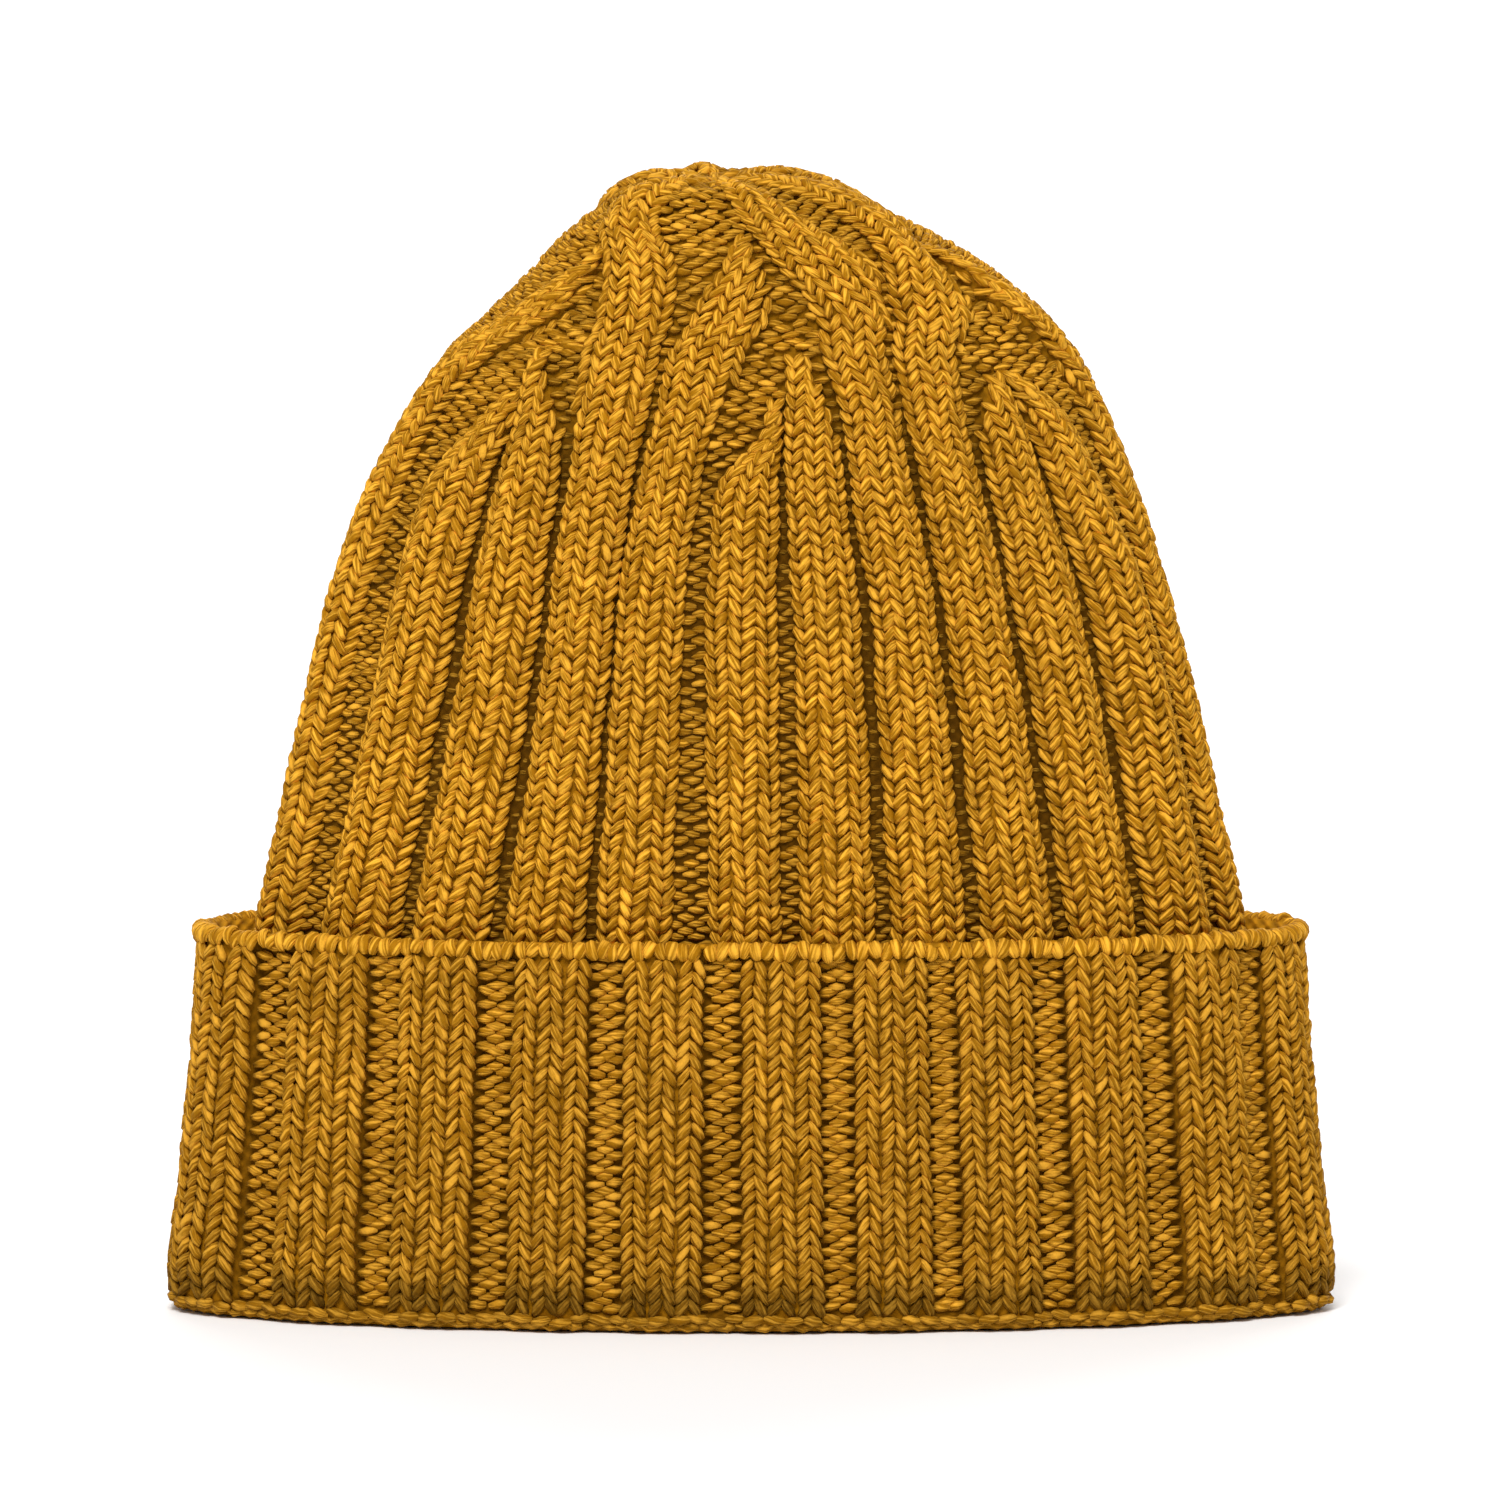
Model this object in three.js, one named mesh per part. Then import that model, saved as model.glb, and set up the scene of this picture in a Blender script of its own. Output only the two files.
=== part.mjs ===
// Ribbed knit beanie, standing on its turned-up cuff, as three.js meshes in millimetres, +Z up.
// The front faces -Y and the wearer's left side is +X. The origin is under the middle of the hem.
import * as THREE from 'three';

// Knitting gauge
const ROW_HEIGHT = 2.65;
const RIB_COUNT = 24;

// Crown shell
const CROWN_WALL = 5.0;
const COLUMNS_PER_RIB = 4;
const COLUMNS = RIB_COUNT * COLUMNS_PER_RIB;
const CROWN_OUTER_ROWS = [-12, 0, 6, 12, 18, 24, 30, 34, 37, 40, 43, 46, 49, 52, 55, 58, 61, 63.4];
const CROWN_INNER_ROWS = [-12, 0, 16, 28, 38, 46, 52, 57, 61];
const EVEN_FROM_ROW = 34;
const EVEN_FULL_ROW = 54;
const RIB_END_FADE_ROWS = 3;
const NARROW_RIB_SHARE = 0.022;

// Crown sections from the hem to the closure: the crest of the ribs, and how deep the valleys lie under it
const CROWN_SECTIONS = [
  { at: 'hem',        height: 3,     halfWidth: 104.4, halfDepth: 39.0, right: 0,    back: 0,    tilt: 0,    relief: 2.8 },
  { at: 'under cuff', height: 40,    halfWidth: 99.9,  halfDepth: 38.4, right: 0,    back: 0,    tilt: 0,    relief: 2.8 },
  { at: 'cuff top',   height: 75.4,  halfWidth: 96.1,  halfDepth: 37.8, right: -0.3, back: 0,    tilt: 0,    relief: 3.0 },
  { at: 'low crown',  height: 98.5,  halfWidth: 91.2,  halfDepth: 37.0, right: -0.3, back: 0,    tilt: 0,    relief: 3.2 },
  { at: 'mid crown',  height: 117.9, halfWidth: 87.0,  halfDepth: 35.8, right: -0.3, back: 0,    tilt: 0,    relief: 3.2 },
  { at: 'body',       height: 137.3, halfWidth: 82.2,  halfDepth: 34.5, right: -0.5, back: 0,    tilt: 0,    relief: 3.2 },
  { at: 'high body',  height: 156.7, halfWidth: 76.1,  halfDepth: 32.8, right: -0.3, back: 0,    tilt: 0,    relief: 3.1 },
  { at: 'shoulder',   height: 176.1, halfWidth: 67.7,  halfDepth: 30.4, right: 0.6,  back: 0,    tilt: 0,    relief: 2.8 },
  { at: 'first ends', height: 187.7, halfWidth: 60.8,  halfDepth: 28.2, right: 1.8,  back: 0,    tilt: 0.02, relief: 2.5 },
  { at: 'dome',       height: 195.5, halfWidth: 53.8,  halfDepth: 26.0, right: 2.2,  back: -0.5, tilt: 0.05, relief: 2.2 },
  { at: 'high dome',  height: 203.3, halfWidth: 44.8,  halfDepth: 23.0, right: 1.6,  back: -1.5, tilt: 0.10, relief: 2.0 },
  { at: 'last ends',  height: 210.8, halfWidth: 34.2,  halfDepth: 18.8, right: -0.4, back: -2.5, tilt: 0.15, relief: 2.0 },
  { at: 'top',        height: 216.4, halfWidth: 22.6,  halfDepth: 13.6, right: -2.0, back: -3.5, tilt: 0.20, relief: 1.8 },
  { at: 'gather',     height: 219.6, halfWidth: 11.0,  halfDepth: 7.4,  right: -3.0, back: -4.5, tilt: 0.25, relief: 1.4 },
  { at: 'closure',    height: 217.4, halfWidth: 0,     halfDepth: 0,    right: -3.2, back: -5.0, tilt: 0.25, relief: 1.0 },
];
const CUFF_TOP_SECTION = 2;

// Front ribs: left and right edges in thousandths of the way round, counted from the -X side by way of
// the front, at these rows above the cuff, and the row where each rib is decreased away
const EDGE_ROWS = [0, 24, 33, 38, 43, 48, 53, 59];
const NEVER = 99;
const RIB_EDGES = [
  { rib: 1,  ends: 53.5,  left: [-4, -4, 0, 5, 22, 50, 84, 15],              right: [43, 43.5, 44.5, 47, 70, 97, 96, 16] },
  { rib: 2,  ends: 40,    left: [52.5, 55.5, 59, 84, 97, 99, 96.4, 17],      right: [92, 98.5, 101, 102, 98, 100, 96.6, 18] },
  { rib: 3,  ends: 44,    left: [99, 105, 104, 103, 98.4, 101, 96.8, 19],    right: [133, 142, 140, 130, 108, 103, 97, 20] },
  { rib: 4,  ends: NEVER, left: [141.5, 148, 147, 140.7, 133.6, 116, 98, 28], right: [176, 181, 183, 184.8, 184.6, 178, 170, 125] },
  { rib: 5,  ends: 57,    left: [183, 184, 187, 190, 195, 200, 218, 252],    right: [216, 218, 223.5, 227, 236, 259, 260.5, 253] },
  { rib: 6,  ends: 39.5,  left: [229, 225.5, 231, 257, 262, 261, 262, 254],  right: [263, 264, 265.5, 267, 264, 262, 263, 255] },
  { rib: 7,  ends: 44,    left: [270, 271, 268, 268, 270, 264, 264, 256],    right: [305.5, 305, 300.5, 297, 284, 266, 265, 257] },
  { rib: 8,  ends: NEVER, left: [312, 312, 305.5, 303.5, 296, 285, 266.5, 262], right: [344.6, 343, 339, 336.4, 336.3, 341.5, 363, 345] },
  { rib: 9,  ends: NEVER, left: [350, 348, 344, 340.8, 341, 348.5, 375, 420], right: [381.5, 380, 379.3, 377.5, 387.7, 414, 428, 512] },
  { rib: 10, ends: 41.5,  left: [388, 384.5, 383.2, 388.7, 410, 418, 430, 515], right: [422.7, 421.5, 418.5, 414, 411, 419, 431, 516] },
  { rib: 11, ends: 41.5,  left: [429.5, 426.5, 423.7, 416, 412, 420, 432, 517], right: [466, 468, 447, 434, 414, 421, 433, 518] },
  { rib: 12, ends: 54.5,  left: [474, 479, 471, 468, 461, 429, 434, 519],    right: [522, 522, 520, 515, 495, 466, 446, 520] },
];
const FRONT_START = -6;
const FRONT_END = 526;

// Cuff
const CUFF_RELIEF = 3.2;
const CUFF_SHOULDER_SHARE = 0.12;
const CUFF_TOP = { height: 74.8, halfWidth: 107.6, halfDepth: 45.2 };
const CUFF_HEM = { height: 0, halfWidth: 112.6, halfDepth: 47.2 };
const CUFF_SIDE_RISE = 1.2;
// Ribs across the front, left and right edges in thousandths of the way round; the back ones are even
const CUFF_FRONT_RIBS = [
  { rib: 1,  left: 6,   right: 48 },
  { rib: 2,  left: 66,  right: 100 },
  { rib: 3,  left: 114, right: 144 },
  { rib: 4,  left: 159, right: 188 },
  { rib: 5,  left: 202, right: 232 },
  { rib: 6,  left: 247, right: 277 },
  { rib: 7,  left: 290, right: 318 },
  { rib: 8,  left: 330, right: 359 },
  { rib: 9,  left: 373, right: 402 },
  { rib: 10, left: 417, right: 447 },
  { rib: 11, left: 461, right: 496 },
];
const CUFF_BACK = { start: 514, end: 990, ribShare: 0.69 };
// Once round the cuff's wall, from the underside: how far in from the rib crests, and the share of the ribs' relief
const CUFF_PROFILE = [
  { at: 'underside outer edge', height: 0,    inward: 3.4,  ribs: 0 },
  { at: 'hem rounding',         height: 0.9,  inward: 1.2,  ribs: 0.3 },
  { at: 'hem side',             height: 3.2,  inward: 0.1,  ribs: 0.6 },
  { at: 'lower wall',           height: 8,    inward: 0,    ribs: 1 },
  { at: 'middle wall',          height: 38,   inward: 0,    ribs: 1 },
  { at: 'upper wall',           height: 67,   inward: 0,    ribs: 1 },
  { at: 'under the roll',       height: 70,   inward: 0.5,  ribs: 0.6 },
  { at: 'roll front',           height: 72.6, inward: 0.3,  ribs: 0.25 },
  { at: 'roll crest',           height: 74.8, inward: 2.6,  ribs: 0.1 },
  { at: 'roll back',            height: 73.6, inward: 5.2,  ribs: 0 },
  { at: 'inner upper wall',     height: 67,   inward: 6.2,  ribs: 0 },
  { at: 'inner lower wall',     height: 8,    inward: 6.6,  ribs: 0 },
  { at: 'over the fold',        height: 2.5,  inward: 6.7,  ribs: 0 },
  { at: 'fold inner top',       height: 2.5,  inward: 11.4, ribs: 0 },
  { at: 'underside inner edge', height: 0,    inward: 10.4, ribs: 0 },
];

// Colours from the photo
const MUSTARD_YARN = { color: 0xd2921e, roughness: 0.95, metalness: 0 };
const CUFF_YARN = { color: 0xc2841a, roughness: 0.95, metalness: 0 };

// A smooth curve through table values that never overshoots them (monotone cubic)
function smoothCurve(xs, ys) {
  const slopes = xs.slice(1).map((x, i) => (ys[i + 1] - ys[i]) / (x - xs[i]));
  const tangents = ys.map((_, i) => {
    if (i === 0) return slopes[0];
    if (i === ys.length - 1) return slopes[i - 1];
    const [before, after] = [slopes[i - 1], slopes[i]];
    return before * after > 0 ? (2 * before * after) / (before + after) : 0;
  });
  return (x) => {
    const at = Math.min(Math.max(x, xs[0]), xs[xs.length - 1]);
    let i = 0;
    while (i < xs.length - 2 && at > xs[i + 1]) i += 1;
    const span = xs[i + 1] - xs[i];
    const t = (at - xs[i]) / span;
    return (2 * t ** 3 - 3 * t ** 2 + 1) * ys[i]
      + (t ** 3 - 2 * t ** 2 + t) * span * tangents[i]
      + (3 * t ** 2 - 2 * t ** 3) * ys[i + 1]
      + (t ** 3 - t ** 2) * span * tangents[i + 1];
  };
}

function smoothStep(from, to, x) {
  const t = Math.min(Math.max((x - from) / (to - from), 0), 1);
  return t * t * (3 - 2 * t);
}

// The angle round an oval at a share of its girth, from the left side by way of the front
const ANGLE_STEPS = 360;
function angleAtShare(halfWidth, halfDepth, share) {
  const turns = Math.floor(share);
  const wanted = share - turns;
  const lengths = [0];
  for (let i = 1; i <= ANGLE_STEPS; i += 1) {
    const mid = ((i - 0.5) / ANGLE_STEPS) * 2 * Math.PI;
    lengths.push(lengths[i - 1] + Math.hypot(halfWidth * Math.sin(mid), halfDepth * Math.cos(mid)));
  }
  const target = wanted * lengths[ANGLE_STEPS];
  let i = 1;
  while (i < ANGLE_STEPS && lengths[i] < target) i += 1;
  const part = (target - lengths[i - 1]) / (lengths[i] - lengths[i - 1]);
  return ((i - 1 + part) / ANGLE_STEPS) * 2 * Math.PI;
}

// Crown form: every section value as a curve over knitted rows above the cuff
function sectionRows() {
  const rows = [0];
  CROWN_SECTIONS.slice(1).forEach((upper, i) => {
    const lower = CROWN_SECTIONS[i];
    const rise = upper.height - lower.height;
    const side = Math.hypot(rise, upper.halfWidth - lower.halfWidth);
    const front = Math.hypot(rise, upper.halfDepth - lower.halfDepth);
    rows.push(rows[i] + (side + front) / 2 / ROW_HEIGHT);
  });
  return rows.map((row) => row - rows[CUFF_TOP_SECTION]);
}
const SECTION_ROWS = sectionRows();
const HEM_ROW = SECTION_ROWS[0];
const CLOSURE_ROW = SECTION_ROWS[SECTION_ROWS.length - 1];
const column = (key) => smoothCurve(SECTION_ROWS, CROWN_SECTIONS.map((section) => section[key]));
const crownAt = {
  height: column('height'),
  halfWidth: column('halfWidth'),
  halfDepth: column('halfDepth'),
  right: column('right'),
  back: column('back'),
  tilt: column('tilt'),
  relief: column('relief'),
};

function crestPoint(angle, row) {
  const x = -crownAt.halfWidth(row) * Math.cos(angle);
  const y = -crownAt.halfDepth(row) * Math.sin(angle);
  return new THREE.Vector3(x + crownAt.right(row), y + crownAt.back(row), crownAt.height(row) + crownAt.tilt(row) * y);
}

function crownPoint(angle, row, depth) {
  const step = 0.01;
  const low = Math.min(row, CLOSURE_ROW - 2 * step);
  const round = crestPoint(angle + step, low).sub(crestPoint(angle - step, low));
  const up = crestPoint(angle, low + step).sub(crestPoint(angle, low - step));
  const outward = round.cross(up).normalize();
  return crestPoint(angle, row).addScaledVector(outward, -depth);
}

// Ribs: the back half repeats the front half in the girth that is left
function ribCurves() {
  const backScale = (1000 + FRONT_START - FRONT_END) / (FRONT_END - FRONT_START);
  const toBack = (edge) => FRONT_END + (edge - FRONT_START) * backScale;
  const curves = (move) => RIB_EDGES.map(({ ends, left, right }) => ({
    ends,
    left: smoothCurve(EDGE_ROWS, left.map((edge) => move(edge) / 1000)),
    right: smoothCurve(EDGE_ROWS, right.map((edge) => move(edge) / 1000)),
  }));
  return [...curves((edge) => edge), ...curves(toBack)];
}
const RIBS = ribCurves();

// How far the knit stands up from the valley floor at a place on the crown, from 0 to 1
function ribHeight(share, row) {
  let height = 0;
  for (const rib of RIBS) {
    const left = rib.left(row);
    const width = rib.right(row) - left;
    const across = (((share - left) % 1) + 1) % 1;
    if (across > 0 && across < width) {
      const rounding = 1 - Math.abs((2 * across) / width - 1) ** 3;
      const fade = 1 - smoothStep(rib.ends - RIB_END_FADE_ROWS, rib.ends, row);
      const fullness = Math.min(1, width / NARROW_RIB_SHARE);
      height = Math.max(height, rounding * fade * fullness);
    }
  }
  return height;
}

// Mesh columns follow valley, shoulder, crest, shoulder of each rib, and spread evenly near the closure
function columnShare(index, row) {
  const rib = RIBS[Math.floor(index / COLUMNS_PER_RIB)];
  const before = RIBS[(Math.floor(index / COLUMNS_PER_RIB) + RIB_COUNT - 1) % RIB_COUNT];
  const left = rib.left(row);
  const right = rib.right(row);
  const wrap = index < COLUMNS_PER_RIB ? 1 : 0;
  const valley = (before.right(row) - wrap + left) / 2;
  const followed = [valley, left + 0.16 * (right - left), (left + right) / 2, right - 0.16 * (right - left)];
  const even = (index + 0.5) / COLUMNS;
  const spread = smoothStep(EVEN_FROM_ROW, EVEN_FULL_ROW, row);
  return followed[index % COLUMNS_PER_RIB] * (1 - spread) + even * spread;
}

// One closed mesh from rings of equal length, joined in order
function skinRings(rings, closing) {
  const count = rings[0].length;
  const positions = rings.flat().flatMap((point) => point.toArray());
  const index = [];
  const band = (lower, upper) => {
    for (let i = 0; i < count; i += 1) {
      const next = (i + 1) % count;
      const [a, b, c, d] = [lower * count + i, lower * count + next, upper * count + next, upper * count + i];
      index.push(a, b, c, a, c, d);
    }
  };
  for (let ring = 0; ring < rings.length - 1; ring += 1) band(ring, ring + 1);
  closing({ band, index, positions, count });
  const geometry = new THREE.BufferGeometry();
  geometry.setAttribute('position', new THREE.Float32BufferAttribute(positions, 3));
  geometry.setIndex(index);
  geometry.computeVertexNormals();
  return geometry;
}

function crownRing(row, depthAt) {
  const ring = [];
  for (let i = 0; i < COLUMNS; i += 1) {
    const share = columnShare(i, row);
    const angle = angleAtShare(crownAt.halfWidth(row), crownAt.halfDepth(row), share);
    ring.push(crownPoint(angle, row, depthAt(share, row)));
  }
  return ring;
}

function crownGeometry() {
  const outerDepth = (share, row) => crownAt.relief(row) * (1 - ribHeight(share, row));
  const inner = [HEM_ROW, ...CROWN_INNER_ROWS].reverse().map((row) => crownRing(row, () => CROWN_WALL));
  const outer = [HEM_ROW, ...CROWN_OUTER_ROWS].map((row) => crownRing(row, outerDepth));
  const rings = [...inner, ...outer];
  return skinRings(rings, ({ index, positions, count }) => {
    const closure = crestPoint(0, CLOSURE_ROW);
    const top = positions.length / 3;
    positions.push(closure.x, closure.y, closure.z - crownAt.relief(CLOSURE_ROW));
    positions.push(closure.x, closure.y, closure.z - CROWN_WALL);
    const last = (rings.length - 1) * count;
    for (let i = 0; i < count; i += 1) {
      const next = (i + 1) % count;
      index.push(last + i, last + next, top);
      index.push(next, i, top + 1);
    }
  });
}

function cuffRibs() {
  const backCount = RIB_COUNT - CUFF_FRONT_RIBS.length;
  const pitch = (CUFF_BACK.end - CUFF_BACK.start) / (backCount - 1 + CUFF_BACK.ribShare);
  const back = Array.from({ length: backCount }, (_, i) => {
    const left = CUFF_BACK.start + i * pitch;
    return { left, right: left + CUFF_BACK.ribShare * pitch };
  });
  return [...CUFF_FRONT_RIBS, ...back];
}

function cuffRing({ height, inward, ribs }) {
  const rise = height / CUFF_TOP.height;
  const halfWidth = THREE.MathUtils.lerp(CUFF_HEM.halfWidth, CUFF_TOP.halfWidth, rise);
  const halfDepth = THREE.MathUtils.lerp(CUFF_HEM.halfDepth, CUFF_TOP.halfDepth, rise);
  const ring = [];
  for (const { left, right } of cuffRibs()) {
    const shoulder = CUFF_SHOULDER_SHARE * (right - left);
    const stops = [
      { edge: left - shoulder, up: 0 },
      { edge: left + shoulder, up: 1 },
      { edge: right - shoulder, up: 1 },
      { edge: right + shoulder, up: 0 },
    ];
    for (const { edge, up } of stops) {
      const angle = angleAtShare(halfWidth, halfDepth, edge / 1000);
      const outward = new THREE.Vector2(-Math.cos(angle) / halfWidth, -Math.sin(angle) / halfDepth).normalize();
      const depth = inward + CUFF_RELIEF * ribs * (1 - up);
      ring.push(new THREE.Vector3(
        -halfWidth * Math.cos(angle) - outward.x * depth,
        -halfDepth * Math.sin(angle) - outward.y * depth,
        height + CUFF_SIDE_RISE * rise * Math.cos(angle) ** 2,
      ));
    }
  }
  return ring;
}

function cuffGeometry() {
  const rings = CUFF_PROFILE.map(cuffRing);
  return skinRings(rings, ({ band }) => band(rings.length - 1, 0));
}

function piece(name, geometry, yarn) {
  const mesh = new THREE.Mesh(geometry, new THREE.MeshStandardMaterial(yarn));
  mesh.name = name;
  return mesh;
}

const beanie = new THREE.Group();
beanie.name = 'ribbed_beanie';
beanie.add(piece('crown', crownGeometry(), MUSTARD_YARN));
beanie.add(piece('cuff', cuffGeometry(), CUFF_YARN));
export default beanie;
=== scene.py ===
import functools
import math

import bpy
import numpy as np
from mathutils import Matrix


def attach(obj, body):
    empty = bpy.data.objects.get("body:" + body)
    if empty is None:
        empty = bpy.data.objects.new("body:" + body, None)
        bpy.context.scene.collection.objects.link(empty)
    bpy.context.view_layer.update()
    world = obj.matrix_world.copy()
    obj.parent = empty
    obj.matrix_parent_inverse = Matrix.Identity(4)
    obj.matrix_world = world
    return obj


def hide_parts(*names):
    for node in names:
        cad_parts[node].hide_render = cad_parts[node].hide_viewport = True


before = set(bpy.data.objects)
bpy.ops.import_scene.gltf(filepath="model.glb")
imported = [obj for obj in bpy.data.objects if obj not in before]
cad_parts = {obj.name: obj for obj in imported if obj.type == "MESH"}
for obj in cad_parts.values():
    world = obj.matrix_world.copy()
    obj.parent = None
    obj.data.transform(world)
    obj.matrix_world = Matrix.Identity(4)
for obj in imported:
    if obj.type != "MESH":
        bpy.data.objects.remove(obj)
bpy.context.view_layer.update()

MM = 0.001

# Knitting gauge
ROW_HEIGHT = 2.65
RIB_COUNT = 24
WALES_PER_RIB = 3
WALE_WIDTH = 4.8

# Crown sections from the hem to the closure, at the crest of the ribs
CROWN_COLUMNS = ("height", "half_width", "half_depth", "right", "back", "tilt", "relief")
CROWN_SECTIONS = {
    "hem":        (3.0,   104.4, 39.0, 0.0,  0.0,  0.0,  2.8),
    "under cuff": (40.0,  99.9,  38.4, 0.0,  0.0,  0.0,  2.8),
    "cuff top":   (75.4,  96.1,  37.8, -0.3, 0.0,  0.0,  3.0),
    "low crown":  (98.5,  91.2,  37.0, -0.3, 0.0,  0.0,  3.2),
    "mid crown":  (117.9, 87.0,  35.8, -0.3, 0.0,  0.0,  3.2),
    "body":       (137.3, 82.2,  34.5, -0.5, 0.0,  0.0,  3.2),
    "high body":  (156.7, 76.1,  32.8, -0.3, 0.0,  0.0,  3.1),
    "shoulder":   (176.1, 67.7,  30.4, 0.6,  0.0,  0.0,  2.8),
    "first ends": (187.7, 61.9,  28.4, 1.0,  0.0,  0.02, 2.5),
    "dome":       (195.5, 55.9,  26.4, 3.1,  -0.5, 0.05, 2.2),
    "high dome":  (203.3, 47.6,  24.2, 2.4,  -1.7, 0.09, 2.2),
    "last ends":  (210.8, 38.0,  21.2, -0.2, -3.0, 0.13, 2.2),
    "top":        (216.4, 26.0,  16.4, -2.8, -4.4, 0.17, 1.5),
    "gather":     (220.1, 14.6,  9.4,  -5.6, -5.4, 0.18, 0.8),
    "closure":    (220.6, 0.0,   0.0,  -6.6, -6.0, 0.18, 0.6),
}
CUFF_TOP_SECTION = 2
CROWN_WALL = 5.0
VALLEY_DEEPER = 1.2
TOP_VALLEY_DEEPER = 1.6

# Front ribs of the crown: the row where each is decreased away, the side it keeps its knit columns on, and
# its left and right edges in thousandths of the way round at these rows above the cuff
EDGE_ROWS = (0, 24, 33, 38, 43, 48, 53, 59)
NEVER = 99
RIB_EDGES = {
    1: (53.5, "left", (-4, -4, 0, 5, 22, 50, 84, 15),
        (37, 36.5, 37.5, 42, 66, 97, 96, 16)),
    2: (40, "left", (52.5, 57.5, 57, 76, 97, 99, 96.4, 17),
        (91, 97, 98, 101, 98, 100, 96.6, 18)),
    3: (44, "left", (99, 105, 104, 103, 98.4, 101, 96.8, 19),
        (133, 142, 140, 130, 108, 103, 97, 20)),
    4: (NEVER, "right", (141.5, 148, 147, 140.7, 133.6, 116, 98, 28),
        (176, 181, 183, 184.8, 184.6, 178, 170, 125)),
    5: (56.5, "left", (183, 184, 187, 190, 191.5, 196.5, 221.5, 272),
        (215, 216.5, 221, 226, 244.5, 253.3, 254, 255)),
    6: (39.5, "left", (234, 229.5, 232.5, 257, 262, 261, 262, 254),
        (263.3, 264.3, 265.5, 267, 264, 262, 263, 255)),
    7: (44, "left", (273.5, 274.3, 271, 270, 270, 264, 264, 256),
        (305.3, 306.2, 303, 299, 284, 266, 265, 257)),
    8: (NEVER, "left", (314, 314, 307.5, 305.5, 296, 285, 266.5, 262),
        (346, 346, 342, 338.4, 337.5, 341.5, 363, 345)),
    9: (NEVER, "left", (354.8, 352, 348.5, 344.3, 343, 348.5, 375, 420),
        (386.5, 384.2, 382.3, 379.3, 387.7, 414, 428, 512)),
    10: (42, "right", (394.8, 390.3, 389, 391.7, 411, 418, 430, 515),
         (426.5, 426.5, 421.5, 419, 413, 419, 431, 516)),
    11: (42, "right", (434.5, 433.5, 427, 423.5, 417, 421, 432, 517),
         (470, 477, 466, 455, 421, 422, 433, 518)),
    12: (54.5, "right", (483, 488.5, 482, 475.5, 468, 433, 434, 519),
         (522, 522, 520, 515, 495, 466, 446, 520)),
}
FRONT_START = -6
FRONT_END = 526

# Cuff: the oval at its top edge and at its hem, and its ribs across the front and round the back
CUFF_TOP = {"height": 74.8, "half_width": 107.6, "half_depth": 45.2}
CUFF_HEM = {"height": 0.0, "half_width": 112.6, "half_depth": 47.2}
CUFF_SIDE_RISE = -0.2
CUFF_RELIEF = 3.2
CUFF_FRONT_RIBS = ((6, 48), (66, 100), (114, 144), (159, 188), (202, 232), (247, 277), (290, 318),
                   (330, 359), (373, 402), (417, 447), (461, 496))
CUFF_BACK = {"start": 514, "end": 990, "rib_share": 0.69}

# Yarn laid as a leg of a stitch: how far it reaches across its column and how many rows it climbs, on crown
# and cuff, how much the two legs of a stitch huddle together, the yarn's thickness, how far its middle lies
# under the surface, and how much it fills of the room to the next row, between two widths
KNIT_YARN = {"reach": 0.37, "climb": 0.90, "cuff_reach": 0.33, "cuff_climb": 0.97, "huddle": 0.012,
             "thickness": 2.1, "sink": 1.0, "fill": 1.27, "narrowest": 1.65, "widest": 2.0}
# How far the stitches vary, in shares of their size or in millimetres, as the like tables below say too
KNIT_VARIES = {"size": 0.07, "drift": 0.12, "sink": 0.09}
# How steeply a leg's ends are cut, along the knit column
LEG_SLANT = 0.15
# Yarn laid as a purl bump, how far apart the columns of bumps lie, and how much darker the bumps are
# painted, as shade, in a valley, beside a rib and where a valley is too narrow to look into
PURL_YARN = {"length": 3.2, "width": 1.7, "thickness": 1.9, "sink": 0.7, "hidden_sink": 0.45, "pitch": 2.3,
             "tilt": 0.08, "tone": -1.0, "shade": 3.2, "edge_shade": 3.0, "hidden_shade": 6.0,
             "hidden_shrink": 0.25}
PURL_VARIES = {"size": 0.09, "tilt": 0.12, "sink": 0.08, "lift": 0.07}
# Widths of a valley: closed, so that no bump is laid, too narrow to look into, and darkened with painted
# shade
PURL_GAPS = {"closed": -0.6, "hidden": (3.0, 4.6), "shaded": (5, 14)}
CUFF_PURL = {"apart": 0.27, "fuller": (1.2, 1.08, 1.0), "tone": 1.0}
# How far a knit column wanders to either side, and how fast its wave goes by row, height, column and rib
COLUMN_SWAY = {"reach": 0.22, "row": 0.62, "cuff_height": 0.25, "column": 2.4, "rib": 900}
# How far the outer yarn of a rib leans over the valley beside it
OVERHANG = 1.0
CUFF_OVERHANG = 0.6
# A rib's rounding: how far its flanks drop, how late, and on the crown how much wider its middle column
# looks and how much darker its flanks are painted, as painted shade
CUFF_ROUNDING = {"drop": 1.5, "power": 3.0}
RIB_ROUNDING = {"drop": 1.0, "power": 2.3, "spread": 0.16, "shade": 2.6}
# How late a rib's top rounds off towards its edges
CROWN_RIB_POWER = 3
CUFF_RIB_POWER = 4.5
# A rib narrower than the first width is gone; one narrower than the second, or than this share of the way
# round, stands less high, as does a rib in its last rows
NARROWEST_RIB = 2.5
FULL_RIB = 6
FULL_RIB_SHARE = 0.018
ENDING = {"rows": 2, "lower": 0.6}
# The rows above the cuff over which straight ribs give way to the merging top
MERGING = {"spread": (30, 38), "columns": (34, 42), "edge_shade": (36, 42), "hidden": (36, 44),
           "valleys": (40, 50)}
# How far to either side of a stitch the fabric is felt for its way across
FEELER = 0.7


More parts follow.
